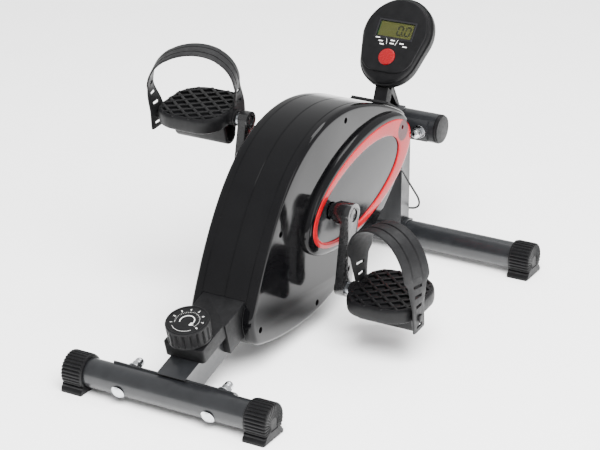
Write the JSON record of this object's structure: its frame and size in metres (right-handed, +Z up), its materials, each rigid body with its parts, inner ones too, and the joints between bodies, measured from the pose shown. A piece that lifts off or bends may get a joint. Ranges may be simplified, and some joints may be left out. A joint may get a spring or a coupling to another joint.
{
  "type": "pedal exerciser",
  "caption": "Floor-standing pedal exerciser: inclined frame on two cross feet, belt-driven magnetic flywheel in a closed casing, strapped pedals, tension knob and tilted display.",
  "frame": {"origin": "on the floor under the middle of the whole machine, on its middle plane", "axes": "+X to the right as the seated user sees it, +Y away from the user towards the display, +Z up"},
  "size_m": [0.454, 0.6801, 0.3667],
  "materials": {
    "frame_paint": "satin",
    "black_plastic": "moulded, lightly textured",
    "casing_gloss": "gloss",
    "panel_gloss": "gloss",
    "red_gloss": "gloss",
    "strap_rubber": "satin",
    "zinc": "bright zinc plated",
    "steel": "turned",
    "black_steel": "gloss black",
    "cast_wheel": "turned rim",
    "belt_rubber": "matte",
    "magnet": "nickel plated",
    "lens": "clear",
    "lcd": "olive reflective display",
    "circuit": "solder mask",
    "cable": "satin"
  },
  "bodies": {
    "frame": {"front_foot_tube": "frame_paint", "rear_foot_tube": "frame_paint", "front_saddle_plate": "frame_paint", "rear_saddle_plate": "frame_paint", "cross_tube_saddle_plate": "frame_paint", "main_tube": "frame_paint", "rear_post": "frame_paint", "cross_tube": "frame_paint", "cross_tube_plugs": "black_plastic", "front_left_foot_cap": "black_plastic", "front_right_foot_cap": "black_plastic", "rear_left_foot_cap": "black_plastic", "rear_right_foot_cap": "black_plastic", "carriage_bolts": "zinc", "bolt_washers": "zinc", "cap_nuts": "zinc", "bottom_bracket": "frame_paint", "crank_bearings": "steel", "flywheel_housing": "frame_paint", "flywheel_bearings": "steel", "drive_belt": "belt_rubber", "brake_anchor": "frame_paint", "brake_spring": "steel", "brake_cable": "cable", "knob_bracket": "black_plastic", "left_casing": "casing_gloss", "right_casing": "casing_gloss", "casing_screws": "black_steel", "left_side_disc": "panel_gloss", "right_side_disc": "panel_gloss", "left_red_ring": "red_gloss", "right_red_ring": "red_gloss", "console_bracket": "black_plastic", "console_back": "black_plastic", "console_front": "black_plastic", "display_lens": "lens", "display_module": "lcd", "circuit_board": "circuit", "battery": "steel", "sensor_lead": "cable", "cable_grommet": "cable"},
    "crank": {"crank_axle": "steel", "left_crank_arm": "black_steel", "right_crank_arm": "black_steel", "crank_bolts": "black_steel", "drive_pulley": "black_plastic", "pedal_spindles": "steel"},
    "left_pedal": {"left_pedal": "black_plastic", "left_pedal_strap": "strap_rubber"},
    "right_pedal": {"right_pedal": "black_plastic", "right_pedal_strap": "strap_rubber"},
    "flywheel": {"flywheel": "cast_wheel", "flywheel_shaft": "steel", "belt_pulley": "steel"},
    "brake": {"magnet_bracket": "steel", "brake_magnets": "magnet"},
    "tension_knob": {"tension_knob": "black_plastic", "knob_dial": "black_plastic", "cable_drum": "zinc"},
    "mode_button": {"mode_button": "red_gloss"}
  },
  "joints": [
    {"name": "crank_spin", "type": "hinge", "parent": "frame", "child": "crank", "pos_m": [0, -0.005, 0.169], "axis": [1, 0, 0], "continuous": true},
    {"name": "left_pedal_spin", "type": "hinge", "parent": "crank", "child": "left_pedal", "pos_m": [-0.15, 0.01286, 0.26536], "axis": [1, 0, 0], "continuous": true},
    {"name": "right_pedal_spin", "type": "hinge", "parent": "crank", "child": "right_pedal", "pos_m": [0.15, -0.02286, 0.07264], "axis": [1, 0, 0], "continuous": true},
    {"name": "flywheel_spin", "type": "hinge", "parent": "frame", "child": "flywheel", "pos_m": [0, 0.124, 0.208], "axis": [1, 0, 0], "continuous": true},
    {"name": "tension_knob_turn", "type": "hinge", "parent": "frame", "child": "tension_knob", "pos_m": [0, -0.26566, 0.08165], "axis": [0, -0.284, 0.9588], "range_deg": [0, 270]},
    {"name": "magnet_bracket_swing", "type": "hinge", "parent": "frame", "child": "brake", "pos_m": [-0.032, 0.064, 0.15], "axis": [1, 0, 0], "range_deg": [0, 4.05]},
    {"name": "mode_button_press", "type": "slide", "parent": "frame", "child": "mode_button", "axis": [0, 0.766, -0.6428], "range_m": [0, 0.001], "stiffness_N_per_m": 500}
  ],
  "couplings": [
    {"joint": "flywheel_spin", "follows": "crank_spin", "ratio": 7.6667},
    {"joint": "magnet_bracket_swing", "follows": "tension_knob_turn", "ratio": 0.015}
  ]
}
